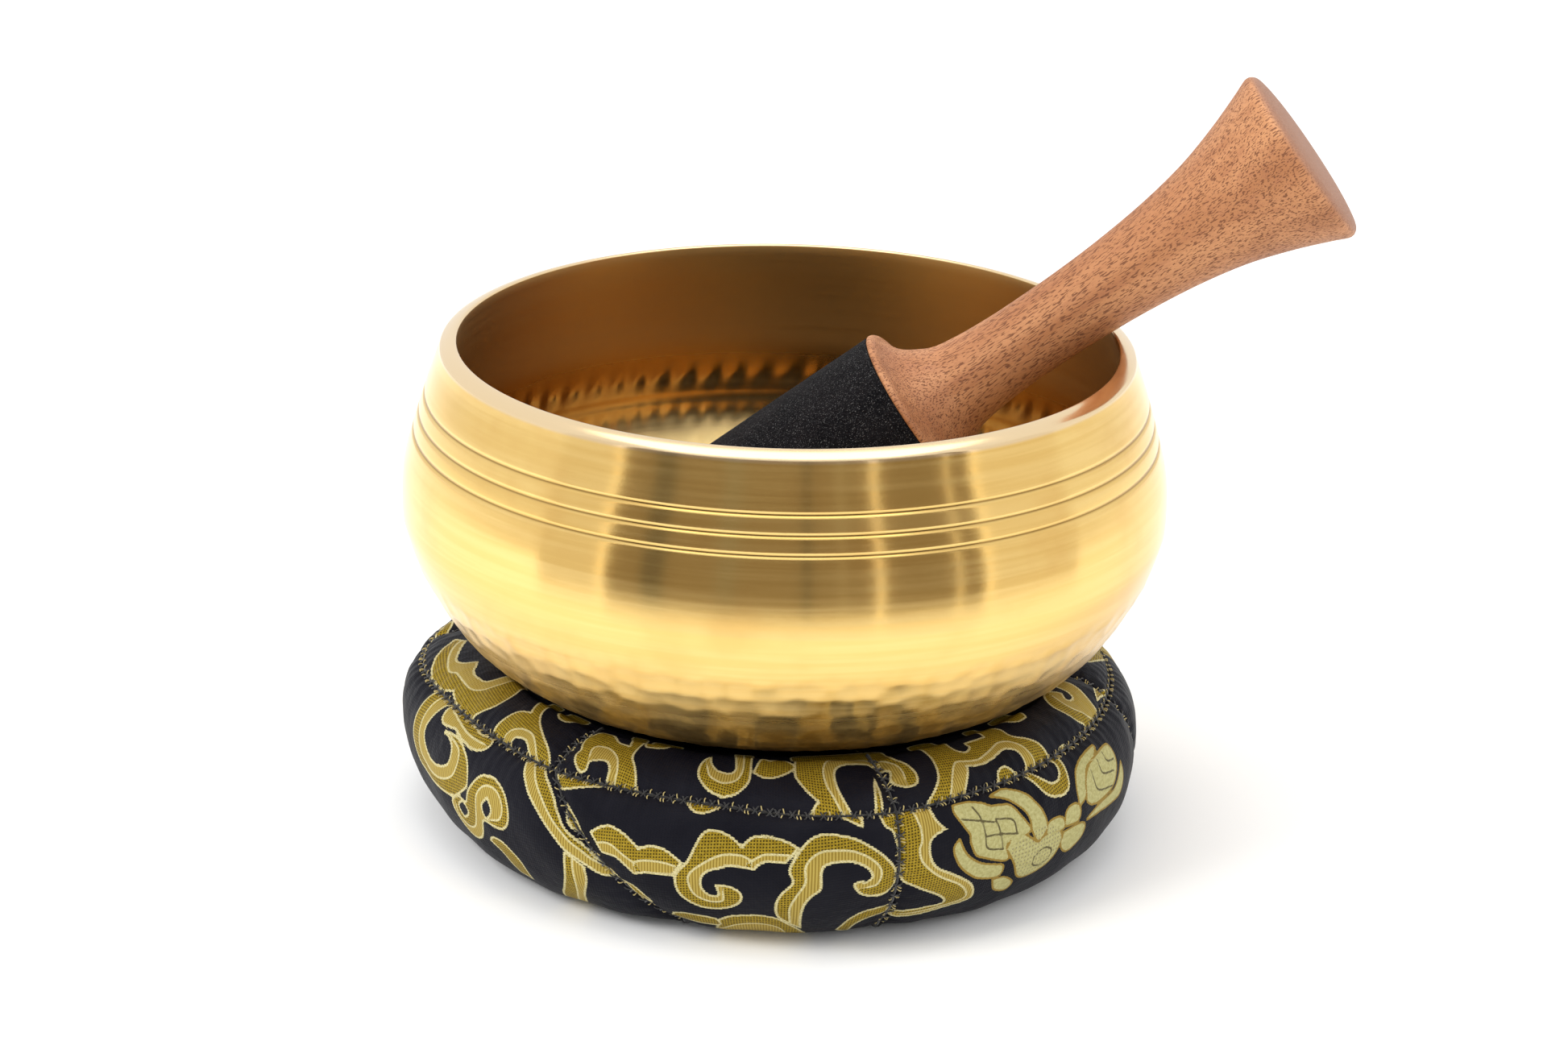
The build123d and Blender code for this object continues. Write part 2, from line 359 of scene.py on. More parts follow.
def glow(name, tint, strength):
    made = bpy.data.materials.new(name)
    made.use_nodes = True
    nodes = made.node_tree.nodes
    nodes.clear()
    light = nodes.new("ShaderNodeEmission")
    light.inputs["Color"].default_value = tint
    light.inputs["Strength"].default_value = strength
    out = nodes.new("ShaderNodeOutputMaterial")
    made.node_tree.links.new(light.outputs[0], out.inputs[0])
    return made


# ---------------------------------------------------------------- bowl

def hammer(across, along, cells, seed):
    """Facets of overlapping hammer marks, one to each unit square: 0 at a mark's middle, up to 1 between.

    The pattern repeats after this many cells across.
    """
    jitter = np.random.default_rng(seed).uniform(-0.32, 0.32, (cells, 64, 2))
    column, row = np.floor(across).astype(int), np.floor(along).astype(int)
    best = 9.0
    for i in (-1, 0, 1):
        for j in (-1, 0, 1):
            shift = jitter[(column + i) % cells, (row + j) % 64]
            best = np.minimum(best, (across - column - i - 0.5 - shift[..., 0]) ** 2
                              + (along - row - j - 0.5 - shift[..., 1]) ** 2)
    return np.clip(best, 0, 1)


def ease(value, low, high):
    t = np.clip((value - low) / (high - low), 0, 1)
    return t * t * (3 - 2 * t)


GROOVES = (98.9, 94.8, 90.8)


def spaced(points, fine_below, step, creases=()):
    """A smooth profile: points a step apart below a height, three steps above it, and close at creases."""
    curve = smooth(points, 0.3)
    lengths = lengths_of(curve)
    rows = np.arange(0, lengths[-1], step)
    plain = np.interp(rows, lengths, curve[:, 1]) > fine_below
    rows = rows[~plain | (np.arange(len(rows)) % 3 == 0)]
    close = [np.interp(crease, curve[:, 1], lengths) + np.linspace(-0.9, 0.9, 11) for crease in creases]
    rows = np.unique(np.concatenate([rows, lengths[-1:]] + close))
    return np.stack([np.interp(rows, lengths, column) for column in curve.T], 1)


def build_bowl(material):
    around = 400 if FULL else 300
    step = 0.75 if FULL else 1.5
    under = smooth([(34, 31.7), (44, 33.8), (54, 35.9)], 1.0)
    outside = spaced([(54, 35.9), (60.6, 38.2), (66, 41.3), (72.4, 46.8), (77.2, 53.5), (81.7, 61.8),
                      (84.4, 69.6), (85, 73.5), (84.7, 82), (83, 89.5), (80, 99.5), (77, 108.2),
                      (76.8, 109.1)], 66, step, GROOVES)
    rim = smooth([(76.8, 109.1), (76.4, 109.75), (74.8, 110.6), (73.3, 110.9), (72.9, 110.5)], 0.4)
    inside = spaced([(72.9, 110.5), (74.0, 106), (76.6, 98), (79, 89), (80.8, 80), (81, 73.5), (80.0, 66),
                     (77.5, 60.6), (73.6, 55.3), (68.8, 49), (63.6, 44.6), (58.8, 42), (53.2, 39.8),
                     (43, 37.7), (33.6, 35.7)], 83, step * 1.2)
    foot = np.array([(0.4, 31.7), (12, 31.7), (24, 31.7)])
    floor = np.array([(24, 35.7), (12, 35.7), (0.4, 35.7)])
    line = np.vstack([foot, under[:-1], outside[:-1], rim[:-1], inside, floor])
    part = np.concatenate([np.zeros(len(foot) + len(under) + len(outside) - 2),
                           np.ones(len(rim) - 1), np.full(len(inside) + len(floor), 2.0)])
    radius, height = line.T
    out = -normals_of(line)
    outer = part == 0
    inner = part == 2
    azimuth = np.arange(around) * TAU / around
    length = lengths_of(line)
    push = np.zeros((len(line), around))
    z = height[:, None]
    # Three turned grooves under the rim.
    cut = sum(np.exp(-((height - groove) / 0.45) ** 2) for groove in GROOVES) * outer
    push -= 0.36 * cut[:, None]
    # Hammered lower half outside.
    cells = 96
    marks = hammer(np.broadcast_to(azimuth * cells / TAU, push.shape),
                   (length[:, None] + 0.8 * np.sin(3 * azimuth)) / 5.2, cells, 3)
    fade = outer * (1 - ease(height, 61, 65)) * ease(radius, 36, 44)
    push += 0.50 * fade[:, None] * (marks - 0.35)
    # Painted shade along the edges between hammer marks, which the brass darkens.
    facet_shade = fade[:, None] * ease(marks, 0.12, 0.42)
    # A ring of round dents inside, a smaller ring under it, and a hammered floor.
    level = inner.astype(float)
    for ring, pitch, tall, depth, phase in ((76.6, 6.0, 2.6, 0.62, 0.0), (67.2, 4.6, 2.0, 0.36, 0.4)):
        count = round(TAU * 79 / pitch)
        turn = azimuth * count / TAU + phase + 0.10 * np.sin(7 * azimuth) + 0.07 * np.sin(19 * azimuth)
        turn = (turn + 0.05 * (z - ring)) % 1 - 0.5
        dent = np.exp(-((turn * 2.9) ** 2 + ((z - ring - 0.35 * np.sin(11 * azimuth)) / tall) ** 2))
        push -= depth * level[:, None] * dent * (0.8 + 0.2 * np.sin(13 * azimuth + 1))
    push -= 0.20 * level[:, None] * np.exp(-((z - 71.2) / 0.4) ** 2)
    low = level * (1 - ease(height, 60, 64))
    reach = radius[:, None] / 7
    dimples = hammer(reach * np.sin(azimuth) + 32, reach * np.cos(azimuth) + 32, 64, 8)
    push += 0.30 * low[:, None] * (dimples - 0.3)
    # Painted shade between the floor's hammer marks too.
    facet_shade = facet_shade + 0.8 * low[:, None] * ease(dimples, 0.15, 0.5)
    r = radius[:, None] + push * out[:, :1]
    points = np.stack([r * np.sin(azimuth), -r * np.cos(azimuth), z + push * out[:, 1:]], -1).reshape(-1, 3)
    tarnish = outer * ease(-height, -60, -46)
    spread = lambda values: np.repeat(np.asarray(values, float), around)
    attributes = {"along": spread(length), "tarnish": spread(tarnish),
                  "rim": spread(part == 1), "inside": spread(inner),
                  "groove": spread(cut ** 3), "facet_shade": facet_shade.ravel()}
    piece = make_piece("bowl_body", points, grid_faces(len(line), around), material, "bowl",
                       attributes, end_caps(len(line), around))
    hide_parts("bowl")


# ---------------------------------------------------------------- mallet

TILT = math.radians(36.8)
MALLET = Matrix.Translation(Vector((29.5, 10.7, 91.05)) * MM) @ Matrix.Rotation(math.pi / 2 - TILT, 4, "Y")


def lathe(name, line, around, material, attributes=None, ripple=None):
    """A solid turned about its own Z axis, which the mallet's matrix lays along the grip."""
    angle = np.arange(around) * TAU / around
    r = np.broadcast_to(line[:, :1], (len(line), around))
    z = np.broadcast_to(line[:, 1:], (len(line), around))
    if ripple is not None:
        push = ripple(line, angle)
        out = -normals_of(line)
        r = r + push * out[:, :1]
        z = z + push * out[:, 1:]
    points = np.stack([r * np.cos(angle), r * np.sin(angle), z], -1).reshape(-1, 3)
    spread = {key: np.repeat(values, around) for key, values in (attributes or {}).items()}
    piece = make_piece(name, points, grid_faces(len(line), around), material, "mallet",
                       spread, end_caps(len(line), around))
    piece.parent = None
    piece.matrix_world = MALLET
    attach(piece, "mallet")
    return piece


def build_mallet(wood, leather):
    around = 256 if FULL else 128
    core = [(0.4, -64.8), (17.6, -64.8), (18.3, -64.6), (18.6, -64.2), (18.6, -0.4), (19.6, -0.3),
            (20.15, -0.1)]
    turned = smooth([(20.35, 0.1), (20.3, 0.6), (19.7, 1.35), (18.6, 1.75), (17.6, 2.0), (15.4, 3.2),
                     (13.6, 4.9), (11.9, 7.6), (10.2, 11.4), (9.25, 18.5), (8.85, 26), (8.8, 31), (8.9, 40),
                     (9.3, 50), (9.95, 58.5), (10.9, 67), (12.2, 75), (13.8, 82), (16.5, 90.5), (19.3, 97.8),
                     (20.5, 100.6), (20.85, 101.9), (20.4, 103.1), (18.9, 104.0), (14, 104.7), (8, 104.95),
                     (2, 105.0)], 0.7)
    line = np.vstack([core, turned])
    end_grain = ease(line[:, 1], 102.8, 103.4)
    grip = lathe("mallet_grip", line, around, wood, {"end_grain": end_grain})
    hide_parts("mallet_handle")

    random = np.random.default_rng(5)
    waves = [(random.integers(2, 14), random.uniform(0.05, 0.5), *random.uniform(0, TAU, 2))
             for _ in range(22)]

    def nap(line, angle):
        s = line[:, 1:]
        push = sum(math.pow(turns, -0.7) * np.sin(turns * angle + twist * s + phase)
                   * np.cos(twist * s * 0.7 + lag) for turns, twist, phase, lag in waves)
        frayed = sum(np.sin(turns * angle + phase) for turns, phase in ((61, 0), (97, 1), (37, 2)))
        return (line[:, :1] > 19.6) * (0.025 * push + 0.04 * np.exp(-(s / 1.2) ** 2) * frayed)

    suede_line = np.vstack([[(19.05, -65.0), (19.6, -65.05)],
                            smooth([(19.6, -65.05), (20.1, -64.7), (20.25, -64.2)], 0.2),
                            smooth([(20.25, -63.8), (20.25, -40), (20.25, -20), (20.25, -1.0)], 0.8),
                            smooth([(20.25, -0.7), (20.1, -0.35), (19.6, -0.15), (19.1, -0.15)], 0.2)])
    wrap = lathe("suede_wrap", suede_line, around, leather, ripple=nap)
    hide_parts("mallet_suede_wrap")


# ---------------------------------------------------------------- camera, light and floor

def card(name, corners, material, reflected_only=True):
    """A strip of flat faces between pairs of corners."""
    mesh = bpy.data.meshes.new(name)
    mesh.from_pydata([Vector(corner) * MM for corner in corners], [],
                     [(i, i + 1, i + 3, i + 2) for i in range(0, len(corners) - 2, 2)])
    piece = bpy.data.objects.new(name, mesh)
    bpy.context.scene.collection.objects.link(piece)
    mesh.materials.append(material)
    for ray in ("camera", "diffuse", "shadow", "transmission", "volume_scatter"):
        setattr(piece, "visible_" + ray, not reflected_only)


def rectangle(half, z):
    return [(x, y, z) for x in (-half, half) for y in (-half, half)]


def curved_card(name, tint, strength, radius, start, end, count):
    """An upright glowing strip round the bowl between two azimuths in degrees, seen only in reflections."""
    card(name, [(radius * math.sin(azimuth), -radius * math.cos(azimuth), z)
                for azimuth in np.radians(np.linspace(start, end, count)) for z in (0, 300)],
         glow(name, tint, strength))


def area_light(name, place, size, power):
    """A square light aimed at the part, which no reflection shows."""
    light = bpy.data.lights.new(name, "AREA")
    light.shape = "SQUARE"
    light.size = size
    light.energy = power
    holder = bpy.data.objects.new(name, light)
    bpy.context.scene.collection.objects.link(holder)
    holder.location = Vector(place)
    holder.rotation_euler = (Vector((0, 0, 0.05)) - Vector(place)).to_track_quat("-Z", "Y").to_euler()
    holder.visible_glossy = False


def set_camera():
    camera = bpy.data.cameras.new("camera")
    camera.lens, camera.sensor_width = 100, 36
    camera.clip_end = 20
    holder = bpy.data.objects.new("camera", camera)
    bpy.context.scene.collection.objects.link(holder)
    forward = Vector((0, 0.9387, -0.3447)).normalized()
    level = Vector((1, 0, 0))
    roll = math.radians(1.37)
    right = level * math.cos(roll) + level.cross(forward) * math.sin(roll)
    turn = Matrix((right, right.cross(forward), -forward)).transposed().to_4x4()
    holder.matrix_world = Matrix.Translation(Vector((0, -0.9145, 0.4037))) @ turn
    bpy.context.scene.camera = holder


def set_stage():
    scene = bpy.context.scene
    scene.view_settings.view_transform = "Standard"
    world = bpy.data.worlds.new("studio")
    world.use_nodes = True
    world.node_tree.nodes["Background"].inputs["Color"].default_value = (1, 1, 1, 1)
    world.node_tree.nodes["Background"].inputs["Strength"].default_value = 1.0
    scene.world = world
    card("floor", rectangle(6000, -0.3), pale_floor(), reflected_only=False)
    curved_card("dark_card", (1.0, 0.84, 0.66, 1), 0.29, 330, -47, 54, 48)
    for name, azimuth, wide, strength in (("strip_left", -47, 1.2, 1.5), ("strip_a", 24.5, 0.9, 1.5),
                                          ("strip_b", 45.6, 0.7, 1.2), ("strip_right", 54, 1.2, 1.5),
                                          ("faint_a", -14, 2.5, 0.29), ("faint_b", 6, 1.0, 0.13),
                                          ("faint_c", 15, 0.7, 0.42), ("faint_d", -33, 3.0, 0.15)):
        curved_card(name, (1, 0.95, 0.88, 1), strength, 326, azimuth - wide, azimuth + wide, 6)
    curved_card("dim_left", (1, 0.96, 0.90, 1), 0.88, 332, -66, -46, 12)
    curved_card("dim_right", (1, 0.96, 0.90, 1), 0.92, 332, 53, 84, 16)
    card("overhead", rectangle(300, 700), glow("overhead", (1, 0.95, 0.85, 1), 2.8))
    area_light("left_light", (-0.9, -0.5, 0.9), 0.6, 9)
    area_light("right_light", (0.9, -0.5, 0.9), 0.8, 3)
    area_light("top_light", (0.0, 0.2, 1.3), 0.9, 4)


# ---------------------------------------------------------------- brocade figures

# The cushion's top seam, and how far round the ring the front's figures come again.
RING_RADIUS, SEAM_HEIGHT = 77.7, 32.7
REPEAT = math.pi * RING_RADIUS

# Millimetres on the unrolled cloth: x round the ring from the front towards +X, y from the top seam,
# down on the sides and inwards on the top. A figure is the edge of its dotted ground, the edge of its
# lighter strip, the line between the two, and any holes. A point given twice is a cusp.

def outlines(text):
    """The outlines in a text: each is a word for its kind, then its points as x,y."""
    found = []
    for word in text.split():
        if "," in word:
            found[-1][1].append(tuple(map(float, word.split(","))))
        else:
            found.append((word, []))
    return found


def figures_of(text):
    """Figures, each from its ground to the next one's."""
    figures = []
    for kind, points in outlines(text):
        if kind == "ground":
            figures.append({"ground": points, "strip": [], "line": [], "holes": []})
        elif kind == "hole":
            figures[-1]["holes"].append(points)
        else:
            figures[-1][kind] = points
    return figures


SIDE_FIGURES = figures_of("""
    ground -56.5,-1 -50,5 -45.5,11 -41,14 -37,17.5 -33,19.8
    strip -62.5,-1 -58,5 -50,12 -45.5,16 -41,18.5 -37,20.7 -33,21
    line -59,0 -50,9 -45,13.2 -40,16.5 -34,20
    ground -45.3,16 -46,22 -48,27 -50,30.5 -53,38
    strip -40.5,19 -40.5,23 -42.5,28 -44,32 -47,38
    line -43.5,18 -43.8,25 -45.5,30 -49,37
    ground -46.8,5.5 -43.5,8.2 -40.8,12.5 -43,11.8 -45.5,9.8 -46.8,5.5
    ground -39.5,10.5 -37,8.7 -34.5,8.1 -31,9.2 -28,11.3 -28,11.3 -25,10.3 -22,10.8 -18.5,13
    strip -36.5,15 -35,14.7 -33,14.9 -31,16.3 -29,17.9 -29,17.9 -26,16.8 -20.5,16.5
    line -38,12.8 -36,12.1 -34,12.2 -31.5,13.6 -29,14.9 -29,14.9 -27,14 -23,13.7 -19.5,14.3
    ground 4.7,7.3 2.5,6 -1,5.2 -4.5,5.7 -6.7,7.8 -6.7,7.8 -9.5,6 -13,5.4 -15,6.5 -16.5,9.5 -17.8,12.5
        -20.3,16 -20,20 -17.5,23 -14,24.4 -10,23.8 -7,21.5 -6.3,19 -7.5,17.5 -10,16.8 -12,17.2
    strip 2,10.8 -2,11 -4,12.9 -4,12.9 -8.5,12.6 -11,13.5 -13.2,14.4 -14.5,16 -14.5,18.5 -13,20
        -11.5,19.7 -12,17.4
    line 2.5,8.9 -2,9.2 -4.5,10.9 -4.5,10.9 -7,10 -11,10.6 -14.8,13 -17.3,15.6 -17.3,18.4 -16,20.8
        -13,22 -10.5,21.3 -10.3,19
    ground 3,27.8 0.5,25 0,21 1,18 3.2,15 2.5,12 4.7,7.3 7,4.8 10,4 15,5 19,7.5 22,10.5 23.8,13.5 24,17
        22.5,19 20,19.5 17,18.6 15.3,16.5 15,15 17,14.5
    strip 5.8,30 5.5,25 6,21 7.3,18.5 9,16.5 9,13 9.5,11 12,10.2 15,10.5 17.5,12 18.5,14 17.3,15
    line 3.2,27 3,22 4.2,18.5 5.8,15 5.8,11 8,8.3 11,7.6 15,8 18.5,10 20.5,13 20,16 18,16.5
    ground -12,28 -9,25.8 -4,24.6 0,25.2 3,27.8 6,31.5 7,38 -12,38 -12,28
    line -12,33 -8,29.5 -3,28.5 1,30.5 3,35
    ground -22,28 -19,27 -14,27.2 -12,28 -12,31 -22,31 -22,28
    ground 13,33 15,27 18,24 21,23.2 24,23.6
    strip 16.5,34 17.5,29.5 20.5,27.2 24,27
    ground -33,20.5 -30,21 -27.5,23 -26,26 -28.5,25 -31,22.5 -33,20.5
    ground -52,0 -49,3.6 -43,2 -37,-0.5 -52,-1 -52,0
    ground -20.5,-0.5 -18,2.3 -15.5,2.7 -13,1.5 -12,-0.5 -20.5,-0.5
    ground 12,0 15,2 17,3 16.5,-0.5 12,0
    ground -105,-1 -105.9,6.9 -105.6,11.2 -104.3,13.8 -100.6,16.4 -95.6,17.2 -89.3,17.4 -82.5,17 -79.7,15.6
        -76.2,12.8 -75.7,11.3 -77.2,8.1 -80,5.9 -85,4.4 -91.5,5
    strip -97,-1 -98.1,3.8 -99,7.5 -98.1,10 -95.6,11.9 -91.9,12.5 -88.1,11.9 -85.6,10.6 -85.1,8.8
        -86.2,6.8 -88.7,6 -91.5,6
    line -101.5,-1 -102,8 -100,13 -95,15 -88,14.8 -83,12.5 -81.5,9 -83,6.4 -88,5.3
    ground -96.2,1.9 -95,4.2 -92.5,4.6 -88,3.9 -84,4.6 -78,5 -74,3.2 -74.5,0.6 -80,0.8 -86,0 -92,-1 -96,-1
        -96.2,1.9
    line -94,1 -88,2 -82,2.8 -76,2.6
    ground -67.2,17.2 -65.6,17.5 -62.5,17.2 -60.6,15 -60.6,11.9 -62.5,8.8 -66.2,7.2 -70,7.4 -72.5,8.8
        -75.4,12.8 -76.4,15.6 -79.5,15.4 -82.5,17.2 -82.5,19.4 -80,21.9 -75.6,24 -71.9,23.1 -70,20.6
        -69,17.6 -67.2,17.2
    line -66,16 -63.5,15 -62.8,12 -65,9.5 -69,9.5 -71.5,12 -71.8,16 -73,20 -76,21.5 -80,20.4 -81,18.5
    hole -67.8,12 -66.4,14 -67.8,16 -69.2,14 -67.8,12
    hole -77.5,16.3 -75.6,17.8 -77.5,19.4 -79.4,17.8 -77.5,16.3
    ground -68.5,22 -66.9,20.3 -63.7,19.9 -60.6,21.6 -58.4,24.4 -58,30
    strip -68.5,22 -65,24 -63.7,26.9 -62.6,30
    ground 20.3,-1 21,3 22.8,4.7 23.8,8.8 24.2,13 25,16.6 27.2,18.1 31.6,20.6 34.7,22.8 35.3,24.4 32.8,25
        26.6,25.9 24.4,26.9
    strip 31.6,-1 32.5,3.4 34.6,6.2 34.6,6.2 32.2,6.9 30.7,8.1 30.7,11.2 32.2,13.8 36,16.2 39.7,18.8
        41.9,21.2 42.8,24 41.9,25.6 36,26.9 30.3,28.4 24.1,29.6
    line 27.5,-1 28.8,6.2 28.2,9.4 29.1,12.5 32.8,16.2 37.8,19.4 40.4,22.5 40.2,24.6 35,25.9 27,27.6
    ground 58.2,-0.5 61,5.3 64,7.5 67.8,8.1 70.3,6.9 71.9,3.1 72.2,-0.5
    strip 60.5,-0.5 63.5,3.5 66.5,4.6 68.8,3.2 69.6,-0.5
""")
TOP_FIGURES = figures_of("""
    ground -125,7.6 -120,4.5 -115,1.7 -110.6,0.4 -104,0.5 -100,2 -100,2 -96,0.5 -87.5,-0.5 -85.6,1.7
        -82.8,4.8 -82,7.6 -82.5,10.8 -84.4,13.9 -87.5,17
    strip -122.2,10.1 -116.9,8.6 -111.9,7.3 -109,8.6 -107.5,10.8 -107.5,10.8 -105,10.1 -101.9,8.6
        -97.5,8.6 -95.3,9.5 -94.7,12.6 -95,17
    line -123,8.8 -116.9,6.4 -111.9,5.1 -108.1,4.5 -105.6,5.4 -100.6,5.3 -95.6,5.3 -92.5,7 -91.2,9.5
        -90.6,12.6 -91.9,16.5
    ground -76.9,-0.5 -76.5,3.9 -75.6,7.3 -74,8.9 -71.5,9.8 -71.5,9.8 -73.1,12 -74.7,15.1 -75.3,19 -70,19
        -69.7,14.5 -68.4,11.4 -65.6,8.9 -61.2,6.4 -56.9,3.9 -54.7,1.7 -54.3,-0.5
    line -72.8,-0.5 -71.2,3.3 -68.1,5.1 -64.4,5.1 -61.2,3.3 -57.6,-0.5
    hole -69.4,-0.6 -68.1,2.3 -65,2.9 -62.5,1.4 -61.2,-0.6 -69.4,-0.6
    ground -66.2,15.1 -65,13.3 -62.5,12.3 -60,12.9 -58.4,15.1 -58.4,19 -66,19 -66.2,15.1
    ground -31.3,-0.5 -31.9,2.6 -33.5,5.7 -35.5,8.6 -35.7,13.9 -36.9,17 -37.9,19.5 -42.5,19 -41.6,16
        -39.7,14.2 -38.8,11.7 -38.8,11.7 -41.6,12 -44.4,13.9 -47.9,14.5 -50.7,12.9 -51.3,10.1 -50.7,8.6
    strip -39.1,-0.5 -39.4,3.2 -41,5 -42.9,4.8 -44.6,3.9 -44.4,2 -46,1.1 -48.5,2.9 -49.7,5.1 -49.4,6.7
    line -36.9,-0.5 -37.2,3.2 -38.5,6.1 -40.4,7.9 -42.9,9 -45.7,8.6 -46.3,7.3 -45.7,5.4
    ground -36,16.4 -35,12.6 -32.3,12 -29.1,12.9 -27.9,15.4 -26.9,19 -35,19 -36,16.4
    ground -16.6,12.6 -17.9,11.7 -18.8,9.2 -18.5,6.1 -16.6,3.6 -14.1,2.1 -11,1.7 -7.9,3.6 -6.3,6.1 -6.1,8.6
        -6.3,12 -6.6,19
    strip -16,10.4 -14.4,8.6 -11.6,8.1 -10.3,9.2 -10.5,11.4 -12.3,19
    line -16.9,9 -15.5,6.3 -12.5,5.1 -9.6,6.2 -8.4,8.5 -8.4,12 -9.4,18
    ground -6,8.9 -3.5,7.6 -1,7.6 1.5,8.9 3.4,10.4 4.3,12 2.8,13.9 0.3,15.4 -1.9,13.9 -4.4,13.9 -6,8.9
    ground 5.6,-0.5 7.1,1.4 8.1,2.9 8.1,2.9 6.2,4.8 4.3,7.6 3.7,9.5 4,14.5 5,20 27,20 29,13.9 30.3,12
        31.5,10.1 32.1,7.3 31.2,5.1 29,4.3
    strip 15.9,-0.5 14,3.3 13.1,6.4 13.1,9.2 14,11 16.5,12.3 22.1,12.9 24.6,10.8 26.2,9.8 25.3,7.6
        26.5,5.4 28,4.5
    line 13.7,-0.5 11.8,3.9 10.6,7 10.6,10.8 12.5,14 17,15.4 23,15.6 27,13.2 29,10 28.8,7
    ground 22.1,9.2 20.6,5 19.8,-0.5 21.4,-0.5 22.2,5 22.1,9.2
    ground 29.7,-0.5 33.8,2.6 36.3,5.4 37.5,9.5 37.5,12.6 36.9,19 44.5,19 45.3,12 46.3,10.4 47.8,9.8
        49.7,10.8 49.4,12.3 55.3,12.3 56.3,12.9 56,19 60,19 61.6,15.1 63.5,12.6 63.5,9.5 66.6,7 68.8,4.5
        69.7,-0.5
    strip 41,-0.5 42.8,2 44.4,4.2 45,5.4 45,5.4 47.8,5.1 52.2,5.3 55.3,6.1 57.8,6.5 60,5.4 60.7,3.3
        60.3,-0.5
    line 37,-0.5 39.7,4.2 42.5,7.3 45.3,7 49.1,6.7 54.1,7.9 57.8,8.9 61,7.9 63.2,5.1 64.1,-0.5
    ground 51,-0.5 51.6,2.3 54.1,3.3 56.3,2 56.9,-0.5 51,-0.5
    ground 72.8,-0.5 74.7,1.1 77.2,1.1 79.1,-0.5 72.8,-0.5
    ground 66.6,14.5 69.1,12 72.2,11.4 74.7,12.6 75.3,19 67,19 66.6,14.5
    ground 90.3,-0.5 88.5,1.4 86.3,3.9 85,7.6 85,10.1 86.6,12.6 89.1,14.2 91.6,14.5 93.8,12.6 94.4,10.8
    strip 99.7,-0.5 99.1,3.3 100.3,7 101.6,10.8 102.2,13.9 102.5,19 98.5,19 96.9,14.2 95.8,9.5 94.2,8
        92.6,9 94.4,10.8
    line 94,1 91,4.6 89.7,7 89.6,9.5 90.6,12
    ground 102.2,2.3 104.1,4.2 107.2,4.8 109.7,3.6 112.5,0 106,1.7 102.2,2.3
""")
SIDE_PETALS = outlines("""
    petal 37.3,1.7 40.6,1.9 44,3 46,4.2 50.4,5 52,6.2 53.2,8 54.6,10 55.4,12 49,12.8 49.6,16.4 47,16 43,14.2
        41,13 39.7,10 39.8,8.6 38.6,6.6 37,3.4 37.3,1.7
    petal 37,9 35.8,10.4 36.2,12.4 37.6,15 40,17.4 43,19.4 48,20.6 48.6,18 46,17 43.6,16.2 41.4,15 39.2,13.2
        37.8,11.2 37,9
    petal 47,2.2 49,1.8 51.6,1.8 56,4.2 58,6.6 59.6,9 60.8,12.8 58,14.8 56.2,12 56,10 54.8,7.4 51,3.8 47,2.2
    petal 49,14 51,11.8 54,12.4 57.8,15.2 60,14.6 65,15 66,18 63,22 58,23.5 54,22.4 51.6,18 49,14
    petal 60.8,14.6 61.2,12.4 63.6,11.8 66.2,12.6 66.4,15 60.8,14.6
    petal 67,14.6 67.4,11.6 70,10.8 72.2,12 71.6,14.8 67,14.6
    petal 72.2,11.9 72.5,8.1 74.7,5 79.1,3.4 85.3,3.1 82.8,4.7 78.5,5.6 76,8.1 75,10.6 72.2,11.9
    petal 75.3,11.9 76.6,8.1 80.3,5.6 87.8,4.7 91.6,5.3 92.7,8.1 91.6,10.6 87.8,13.1 82.8,13.9 77.8,13.4
        75.3,11.9
    petal 94.7,10.3 95,13.8 92.2,16.6 86.6,16.9 79.7,16.2 75.3,15.9 80,14.9 88,14.4 92,12.6 94.7,10.3
    petal 47,21.4 50,21.6 53,24 52,26 48.6,24.6 47,21.4
    petal 66.8,16 72,15.8 74.6,17 74,20 69.4,21.4 66.4,19 66.8,16
""")
SIDE_VEINS = outlines("""
    vein 38.1,5 42.6,6.4 46,7.5
    vein 46.5,7 51,8.3 51.7,11.4
    vein 41.4,3 42.7,5.8 43.2,9 43.8,12.4 48,13.8
    vein 43.3,9.8 47.6,10.4 52,11.5
    vein 46.7,7.4 47.4,10 47.8,13.6
    vein 79.7,6.6 80.7,11.2 87.8,13
    vein 83.5,5.6 84,8.8 89.7,10.3
    vein 87.2,5.3 87.8,7.5 91.6,8.4
    vein 57.2,18.4 60,17.3 63,18.6 62.6,20.6 60,21.6 57.4,20.4 57.2,18.4
""")
NET_MIDDLE, NET_SIZE = (57.5, 17.5), (8.6, 5.6)


def segments_of(curve):
    """Where each segment starts, and its run to the next point."""
    return curve[:-1], curve[1:] - curve[:-1]


def distance_to(points, curve):
    """Distance to a curve, and which side of it each point is on."""
    best = np.full(len(points), 1e9)
    side = np.zeros(len(points))
    for start, run in zip(*segments_of(curve)):
        span = run @ run
        if span < 1e-12:
            continue
        away = points - start
        t = np.clip(away @ run / span, 0, 1)
        gap = ((away - t[:, None] * run) ** 2).sum(1)
        nearer = gap < best
        best = np.where(nearer, gap, best)
        side = np.where(nearer, np.sign(run[0] * away[:, 1] - run[1] * away[:, 0]), side)
    return np.sqrt(best), side


